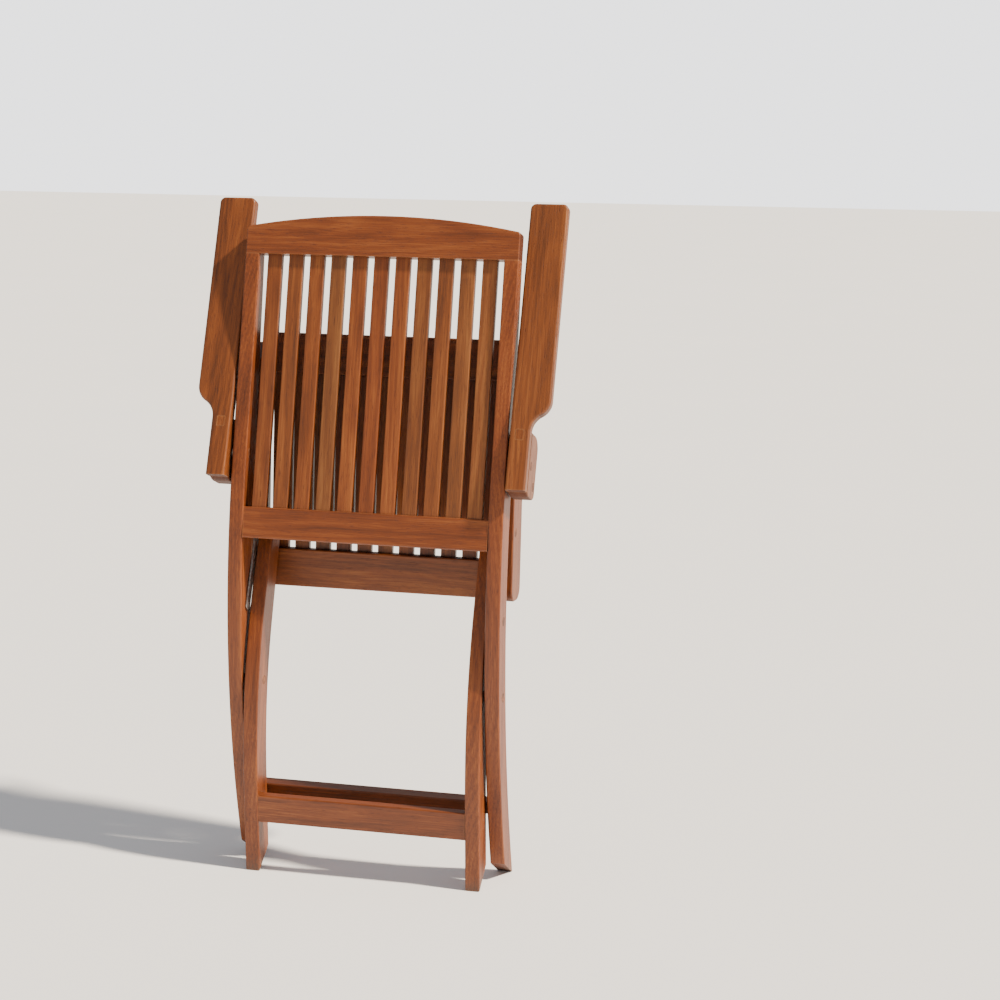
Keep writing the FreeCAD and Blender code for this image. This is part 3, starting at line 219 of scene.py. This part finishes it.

    # Painted shade: the colour is darkened in the corners between the parts, where shade falls.
    corner_shade_ao = add(tree, "ShaderNodeAmbientOcclusion", {"samples": 6},
                  Distance=PAINTED_SHADE_REACH * MM)
    painted_corner_shade = stops(add(tree, "ShaderNodeValToRGB", Fac=corner_shade_ao.outputs["AO"]),
                  (0.1, (0.34, 0.27, 0.23, 1.0)), (0.75, 1.0))
    wood = add(tree, "ShaderNodeMix", {"data_type": "RGBA", "blend_type": "MULTIPLY"},
               _0=1.0, _6=wood, _7=painted_corner_shade).outputs[2]

    # Feet take up water from the paving and turn grey.
    height = add(tree, "ShaderNodeSeparateXYZ", Vector=coords.outputs["Object"]).outputs["Z"]
    ragged = add(tree, "ShaderNodeMath", {"operation": "MULTIPLY_ADD"}, _0=streaks.outputs["Fac"],
                 _1=GROUND_STAIN * MM, _2=height).outputs["Value"]
    wet = add(tree, "ShaderNodeMapRange", Value=ragged, From_Min=GROUND_STAIN * 1.1 * MM,
              From_Max=GROUND_STAIN * 0.45 * MM, To_Min=0.0, To_Max=0.5).outputs["Result"]
    wood = add(tree, "ShaderNodeMix", {"data_type": "RGBA"}, _0=wet, _6=wood,
               _7=linear("#4e4036")).outputs[2]

    rough = add(tree, "ShaderNodeMath", {"operation": "MULTIPLY_ADD"},
                _0=streaks.outputs["Fac"], _1=-0.22, _2=0.58).outputs["Value"]
    rough = add(tree, "ShaderNodeMath", {"operation": "MULTIPLY_ADD"},
                _0=ends, _1=0.22, _2=rough).outputs["Value"]
    relief = add(tree, "ShaderNodeMath", {"operation": "MULTIPLY_ADD"},
                 _0=pits, _1=-0.7, _2=streaks.outputs["Fac"]).outputs["Value"]
    bump = add(tree, "ShaderNodeBump", Height=relief, Strength=0.55, Distance=0.35 * MM)
    skin = add(tree, "ShaderNodeBsdfPrincipled", Base_Color=wood, Roughness=rough,
               Normal=bump.outputs["Normal"], IOR=1.5, Specular_IOR_Level=0.42,
               Coat_Weight=0.06, Coat_Roughness=0.3)
    add(tree, "ShaderNodeOutputMaterial", Surface=skin.outputs["BSDF"])
    return material


# Every board has its own tone: the arms and some slats are paler, the rails behind are darker.
TONES = (
    ("arm_board", 0.16, -0.05), ("arm_ear", 0.1, -0.05), ("top_rail", -0.04, 0.3),
    ("lower_back_rail", -0.08, 0.25), ("back_slat", 0.0, -0.1), ("stile", 0.05, 0.35),
    ("rear_leg", -0.02, 0.3), ("stretcher", -0.02, 0.3), ("seat_slat", -0.15, 0.15),
    ("seat_rail", -0.12, 0.2),
)


def tone_of(node):
    """The shade and warmth of a board, with a small change of its own."""
    chance = random.Random(node)
    shade, warmth = next((s, w) for word, s, w in TONES if word in node)
    spread = 0.24 if "slat" in node else 0.06
    return (shade + chance.uniform(-spread, spread), warmth + chance.uniform(-spread, spread) * 1.6,
            chance.uniform(0.0, 40.0))


def finish_boards():
    for node, piece in frame["nodes"].items():
        if any(word in node for word, _, _ in TONES):
            shade, warmth, seed = tone_of(node)
            paint(piece, teak("teak_" + node, lie_of(piece), shade, warmth, seed))


def plug_teak():
    """Cross-cut teak plugs over the bolts: end grain, dark with oil, with a ring of old glue."""
    material, tree = empty_material("teak_plug_end_grain")
    coords = add(tree, "ShaderNodeTexCoord")
    fine = add(tree, "ShaderNodeTexNoise", Vector=coords.outputs["Object"], Scale=1 / (1.1 * MM),
               Detail=3.0, Roughness=0.6)
    wide = add(tree, "ShaderNodeTexNoise", Vector=coords.outputs["Object"], Scale=1 / (9 * MM),
               Detail=1.0)
    mixed = add(tree, "ShaderNodeMath", {"operation": "MULTIPLY_ADD"}, _0=fine.outputs["Fac"],
                _1=0.5, _2=wide.outputs["Fac"]).outputs["Value"]
    wood = stops(add(tree, "ShaderNodeValToRGB", Fac=mixed), (0.45, linear("#2a140a")),
                 (0.75, linear("#5b2f17")), (1.0, linear("#86502c")))
    inside = add(tree, "ShaderNodeAmbientOcclusion", {"inside": True, "only_local": True,
                                                      "samples": 6}, Distance=1.6 * MM)
    rim = stops(add(tree, "ShaderNodeValToRGB", Fac=inside.outputs["AO"]),
                (0.3, (0.45, 0.4, 0.36, 1.0)), (0.8, 1.0))
    wood = add(tree, "ShaderNodeMix", {"data_type": "RGBA", "blend_type": "MULTIPLY"},
               _0=1.0, _6=wood, _7=rim).outputs[2]
    rough = add(tree, "ShaderNodeMath", {"operation": "MULTIPLY_ADD"}, _0=fine.outputs["Fac"],
                _1=0.3, _2=0.42).outputs["Value"]
    bump = add(tree, "ShaderNodeBump", Height=fine.outputs["Fac"], Strength=0.5,
               Distance=0.3 * MM)
    skin = add(tree, "ShaderNodeBsdfPrincipled", Base_Color=wood, Roughness=rough,
               Normal=bump.outputs["Normal"], IOR=1.5, Specular_IOR_Level=0.4)
    add(tree, "ShaderNodeOutputMaterial", Surface=skin.outputs["BSDF"])
    return material


def zinc_steel():
    """Zinc-plated steel, rolled and tumbled: pale grey, dull in patches, bright where it rubs, with
    painted shade, tinted brown, in the corners."""
    material, tree = empty_material("zinc_plated_steel")
    coords = add(tree, "ShaderNodeTexCoord")
    cloud = add(tree, "ShaderNodeTexNoise", Vector=coords.outputs["Object"], Scale=1 / (6 * MM),
                Detail=4.0, Roughness=0.6)
    rolled = add(tree, "ShaderNodeMapping", Vector=coords.outputs["Object"],
                 Scale=(1 / (0.6 * MM), 1 / (0.6 * MM), 1 / (25 * MM)))
    lines = add(tree, "ShaderNodeTexNoise", Vector=rolled.outputs["Vector"], Scale=1.0, Detail=2.0)
    metal = stops(add(tree, "ShaderNodeValToRGB", Fac=cloud.outputs["Fac"]),
                  (0.35, linear("#8b8d8c")), (0.65, linear("#c3c5c4")))
    inside = add(tree, "ShaderNodeAmbientOcclusion", {"inside": True, "only_local": True,
                                                      "samples": 6}, Distance=1.2 * MM)
    bright = stops(add(tree, "ShaderNodeValToRGB", Fac=inside.outputs["AO"]), (0.3, 0.6), (0.8, 0.0))
    metal = add(tree, "ShaderNodeMix", {"data_type": "RGBA"}, _0=bright, _6=metal,
                _7=linear("#dcdedd")).outputs[2]
    # Painted shade: darker and browner in the corners between the parts.
    corner_shade_ao = add(tree, "ShaderNodeAmbientOcclusion", {"samples": 6}, Distance=5 * MM)
    painted_brown_corner_shade = stops(add(tree, "ShaderNodeValToRGB", Fac=corner_shade_ao.outputs["AO"]),
                  (0.15, linear("#6b5140")), (0.7, 1.0))
    metal = add(tree, "ShaderNodeMix", {"data_type": "RGBA", "blend_type": "MULTIPLY"},
                _0=0.8, _6=metal, _7=painted_brown_corner_shade).outputs[2]
    rough = add(tree, "ShaderNodeMath", {"operation": "MULTIPLY_ADD"}, _0=cloud.outputs["Fac"],
                _1=0.35, _2=0.2).outputs["Value"]
    bump = add(tree, "ShaderNodeBump", Height=lines.outputs["Fac"], Strength=0.25,
               Distance=0.08 * MM)
    skin = add(tree, "ShaderNodeBsdfPrincipled", Base_Color=metal, Metallic=1.0, Roughness=rough,
               Normal=bump.outputs["Normal"])
    add(tree, "ShaderNodeOutputMaterial", Surface=skin.outputs["BSDF"])
    return material


# ---------------------------------------------------------------- turned and cut hardware

def solids_of(node):
    """The separate solids in a CAD node, each as its lowest and highest corner."""
    work = bmesh.new()
    work.from_mesh(frame["nodes"][node].data)
    bmesh.ops.remove_doubles(work, verts=work.verts, dist=0.001 * MM)
    unseen = set(work.verts)
    found = []
    while unseen:
        edge_of_search = [unseen.pop()]
        group = []
        while edge_of_search:
            vertex = edge_of_search.pop()
            group.append(vertex.co.copy())
            for edge in vertex.link_edges:
                other = edge.other_vert(vertex)
                if other in unseen:
                    unseen.remove(other)
                    edge_of_search.append(other)
        low = Vector([min(p[k] for p in group) for k in range(3)])
        high = Vector([max(p[k] for p in group) for k in range(3)])
        found.append((low, high))
    work.free()
    return sorted(found, key=lambda box: tuple(round(c, 4) for c in box[0]))


def spin_round(work, centre, profile, steps=40):
    """Turns a profile about a line along X. Each point is a place along X and a radius."""
    points = [work.verts.new((x, centre[1], centre[2] + radius)) for x, radius in profile]
    edges = [work.edges.new(pair) for pair in zip(points, points[1:])]
    bmesh.ops.spin(work, geom=points + edges, cent=(0.0, centre[1], centre[2]),
                   axis=(1.0, 0.0, 0.0), angle=math.tau, steps=steps, use_merge=True)


def piece_from(work, name, body, material, slot, *nodes):
    """Finishes a bmesh as a piece that stands for CAD nodes and rides on their body."""
    bmesh.ops.remove_doubles(work, verts=work.verts, dist=0.002 * MM)
    bmesh.ops.recalc_face_normals(work, faces=work.faces)
    for face in work.faces:
        face.smooth = True
    mesh = bpy.data.meshes.new(name)
    work.to_mesh(mesh)
    work.free()
    mesh.set_sharp_from_angle(angle=math.radians(35.0))
    piece = bpy.data.objects.new(name, mesh)
    bpy.context.scene.collection.objects.link(piece)
    paint(piece, material)
    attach(piece, body)
    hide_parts(*nodes)
    return piece


def turned_plugs(node, body, material):
    """Plugs glued in, planed off and standing a hair proud, with a rounded rim."""
    work = bmesh.new()
    for low, high in solids_of(node):
        radius = (high.z - low.z) / 2
        rim = 0.6 * MM
        proud = 0.25 * MM
        spin_round(work, (low + high) / 2, [
            (low.x - proud, 0.0), (low.x - proud * 0.6, radius * 0.6), (low.x, radius - rim),
            (low.x + rim, radius), (high.x - rim, radius), (high.x, radius - rim),
            (high.x + proud * 0.6, radius * 0.6), (high.x + proud, 0.0)])
    return piece_from(work, node + "_turned", body, material, "teak_plugs", node)


def stamped_washers(node, body, material):
    """Flat washers with the soft edge that stamping and tumbling leave."""
    work = bmesh.new()
    edge = 0.4 * MM
    hole = 4.05 * MM
    for low, high in solids_of(node):
        radius = (high.z - low.z) / 2
        spin_round(work, (low + high) / 2, [
            (low.x, hole + edge), (low.x, radius - edge), (low.x + edge * 0.3, radius - edge * 0.3),
            (low.x + edge, radius), (high.x - edge, radius),
            (high.x - edge * 0.3, radius - edge * 0.3), (high.x, radius - edge),
            (high.x, hole + edge), (high.x - edge, hole), (low.x + edge, hole),
            (low.x, hole + edge)], steps=48)
    return piece_from(work, node + "_stamped", body, material, "zinc_plated_steel", node)


STRAP_WIDE = 16.0


def add_strap(work, lower, upper, low_x, high_x, radius):
    """A flat bar with round ends: a disc whose upper half is drawn out, then given thickness."""
    way = upper - lower
    length = way.length
    sides = 56
    disc = bmesh.ops.create_circle(work, cap_ends=True, segments=sides, radius=radius)["verts"]
    bmesh.ops.rotate(work, verts=disc, cent=(0, 0, 0),
                     matrix=Matrix.Rotation(math.pi / sides, 3, "Z"))
    bmesh.ops.translate(work, verts=[v for v in disc if v.co.y > 0], vec=(0, length, 0))
    face = disc[0].link_faces[0]
    back = bmesh.ops.extrude_face_region(work, geom=[face])["geom"]
    bmesh.ops.translate(work, verts=[g for g in back if isinstance(g, bmesh.types.BMVert)],
                        vec=(0, 0, high_x - low_x))
    rims = [e for e in work.edges if len({round(v.co.z, 6) for v in e.verts}) == 1]
    bmesh.ops.bevel(work, geom=rims, offset=0.5 * MM, offset_type="OFFSET", affect="EDGES",
                    segments=3, profile=0.5, material=-1)
    across = way.normalized().cross(Vector((1, 0, 0)))
    place = Matrix((across, way.normalized(), Vector((1, 0, 0)))).transposed()
    bmesh.ops.transform(work, matrix=Matrix.Translation((low_x, lower.y, lower.z)) @ place.to_4x4(),
                        verts=work.verts)


def add_rivet(work, centre, low_x, high_x, radius):
    """A pin hammered flush into its countersink, with the fine groove round its head."""
    proud = 0.25 * MM
    head = radius * 1.45
    spin_round(work, centre, [
        (low_x - proud, 0.0), (low_x - proud, head * 0.8), (low_x - proud * 0.2, head),
        (low_x + proud, head * 0.98), (high_x - proud, head * 0.98), (high_x + proud * 0.2, head),
        (high_x + proud, head * 0.8), (high_x + proud, 0.0)])


def steel_strap(side, kind, joint, material):
    """One strap with a flush rivet at each eye. The lower eye turns on the pin of its joint."""
    name = side + "_" + kind
    strap_low, strap_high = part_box(name + "_strap")
    rivet_low, rivet_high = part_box(name + "_rivet")
    hinge = next(j for j in frame["joints"] if j["name"] == joint)
    lower = Vector(hinge["pos_m"])
    upper = (rivet_low + rivet_high) / 2
    lower.x = upper.x
    radius = STRAP_WIDE / 2 * MM
    work = bmesh.new()
    add_strap(work, lower, upper, strap_low.x, strap_high.x, radius)
    for eye in (lower, upper):
        add_rivet(work, eye, strap_low.x, strap_high.x, (rivet_high.z - rivet_low.z) / 2)
    return piece_from(work, name + "_strap_steel", name + "_strap", material, "zinc_plated_steel",
                      name + "_strap", name + "_rivet")


def add_nut(work, centre, face_x, inward):
    """A hexagon nut with chamfered corners on the end of a threaded pin."""
    tall = 5.0 * MM
    wide = 5.5 * MM
    new = bmesh.ops.create_circle(work, cap_ends=True, segments=6, radius=wide)["verts"]
    face = new[0].link_faces[0]
    top = [g for g in bmesh.ops.extrude_face_region(work, geom=[face])["geom"]
           if isinstance(g, bmesh.types.BMVert)]
    bmesh.ops.translate(work, verts=top, vec=(0, 0, tall))
    edges = {e for v in new + top for e in v.link_edges}
    done = bmesh.ops.bevel(work, geom=list(edges), offset=0.55 * MM, offset_type="OFFSET",
                           affect="EDGES", segments=2, profile=0.5, material=-1)
    near = {v for f in done["faces"] for v in f.verts}
    turn = Matrix.Rotation(math.radians(90.0) * inward, 4, "Y")
    bmesh.ops.transform(work, matrix=Matrix.Translation((face_x, centre.y, centre.z)) @ turn,
                        verts=list(near))


def add_thread(work, centre, start_x, inward, radius):
    """The pin's threaded end, which stands out of the nut."""
    pitch = 1.0 * MM
    profile = [(start_x, radius)]
    for turn in range(2):
        profile.append((start_x + inward * pitch * (turn + 0.5), radius - 0.35 * MM))
        profile.append((start_x + inward * pitch * (turn + 1.0), radius))
    end = profile[-1][0]
    profile += [(end + inward * 0.4 * MM, radius * 0.7), (end + inward * 0.5 * MM, 0.0)]
    spin_round(work, centre, profile, steps=28)


def seat_pins(material):
    """The pins of both straps in the seat rails. The rear ones end in a nut inside the rail."""
    work = bmesh.new()
    rail_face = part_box("right_seat_rail")[0].x
    nut_tall = 5.0 * MM
    for low, high in solids_of("seat_pins"):
        side = 1.0 if low.x > 0 else -1.0
        centre = (low + high) / 2
        inner = low.x if side > 0 else high.x
        outer = high.x if side > 0 else low.x
        radius = 3.0 * MM
        start = side * rail_face
        ends = sorted((start, outer))
        spin_round(work, centre, [(ends[0], 0.0), (ends[0], radius), (ends[1], radius),
                                  (ends[1], 0.0)])
        if abs(inner) < rail_face - nut_tall / 2:
            add_nut(work, centre, start, -side)
            add_thread(work, centre, start - side * nut_tall * 0.98, -side, radius * 0.93)
    return piece_from(work, "seat_pins_with_nuts", "seat", material, "zinc_plated_steel",
                      "seat_pins")


def hardware():
    steel = zinc_steel()
    plug_wood = plug_teak()
    for node, body in (("stile_plugs", "back_frame"), ("rear_leg_plugs", "rear_legs"),
                       ("seat_rail_plugs", "seat"), ("left_arm_plugs", "left_arm"),
                       ("right_arm_plugs", "right_arm")):
        turned_plugs(node, body, plug_wood)
    stamped_washers("stile_washers", "back_frame", steel)
    stamped_washers("seat_washers", "seat", steel)
    for side in ("left", "right"):
        steel_strap(side, "seat", side + "_seat_strap_turn", steel)
        steel_strap(side, "arm", side + "_arm_strap_turn", steel)
    seat_pins(steel)
    for node in ("cross_bolts", "arm_bolts", "seat_bolts", "stile_pins", "left_arm_pin",
                 "right_arm_pin"):
        paint(frame["nodes"][node], steel)


# ---------------------------------------------------------------- studio

def camera():
    azimuth, elevation, roll = math.radians(13.46), math.radians(9.94), math.radians(0.71)
    back = Vector((math.sin(azimuth) * math.cos(elevation),
                   -math.cos(azimuth) * math.cos(elevation), math.sin(elevation)))
    level = Vector((math.cos(azimuth), math.sin(azimuth), 0.0))
    upright = back.cross(level)
    right = level * math.cos(roll) + upright * math.sin(roll)
    up = upright * math.cos(roll) - level * math.sin(roll)
    data = bpy.data.cameras.new("camera")
    data.lens = 77.4
    data.sensor_width = 36.0
    eye = bpy.data.objects.new("camera", data)
    bpy.context.scene.collection.objects.link(eye)
    eye.matrix_world = Matrix.Translation((0.9844, -3.2635, 1.2101)) @ Matrix(
        (right, up, back)).transposed().to_4x4()
    bpy.context.scene.camera = eye


def floor():
    """A plain pale floor with the faint mottling of painted boards."""
    work = bmesh.new()
    bmesh.ops.create_grid(work, x_segments=2, y_segments=2, size=30.0)
    mesh = bpy.data.meshes.new("floor")
    work.to_mesh(mesh)
    work.free()
    ground = bpy.data.objects.new("floor", mesh)
    bpy.context.scene.collection.objects.link(ground)
    ground.location.z = -0.0005
    material, tree = empty_material("pale_studio_floor")
    coords = add(tree, "ShaderNodeTexCoord")
    cloud = add(tree, "ShaderNodeTexNoise", Vector=coords.outputs["Object"], Scale=1.5, Detail=2.0)
    tone = stops(add(tree, "ShaderNodeValToRGB", Fac=cloud.outputs["Fac"]),
                 (0.3, linear("#fbfcfe")), (0.7, linear("#fdfdff")))
    skin = add(tree, "ShaderNodeBsdfPrincipled", Base_Color=tone, Roughness=0.85)
    add(tree, "ShaderNodeOutputMaterial", Surface=skin.outputs["BSDF"])
    paint(ground, material)


KEY_FROM = (0.70, -0.10, 0.71)


def lights():
    """A warm key from the right and above, almost level with the back, and a white surround that
    is brighter to look at than to be lit by."""
    data = bpy.data.lights.new("key", "SUN")
    data.energy = 8.4
    data.angle = math.radians(4.0)
    data.color = linear("#fff0da")[:3]
    lamp = bpy.data.objects.new("key", data)
    bpy.context.scene.collection.objects.link(lamp)
    lamp.rotation_mode = "QUATERNION"
    lamp.rotation_quaternion = Vector(KEY_FROM).to_track_quat("Z", "Y")
    world = bpy.data.worlds.new("surround")
    world.use_nodes = True
    tree = world.node_tree
    tree.nodes.clear()
    seen = add(tree, "ShaderNodeLightPath").outputs["Is Camera Ray"]
    strength = add(tree, "ShaderNodeMapRange", Value=seen, To_Min=0.44, To_Max=2.6)
    light = add(tree, "ShaderNodeBackground", Color=linear("#fbfbfd"),
                Strength=strength.outputs["Result"])
    add(tree, "ShaderNodeOutputWorld", Surface=light.outputs["Background"])
    bpy.context.scene.world = world


finish_boards()
hardware()
camera()
floor()
lights()
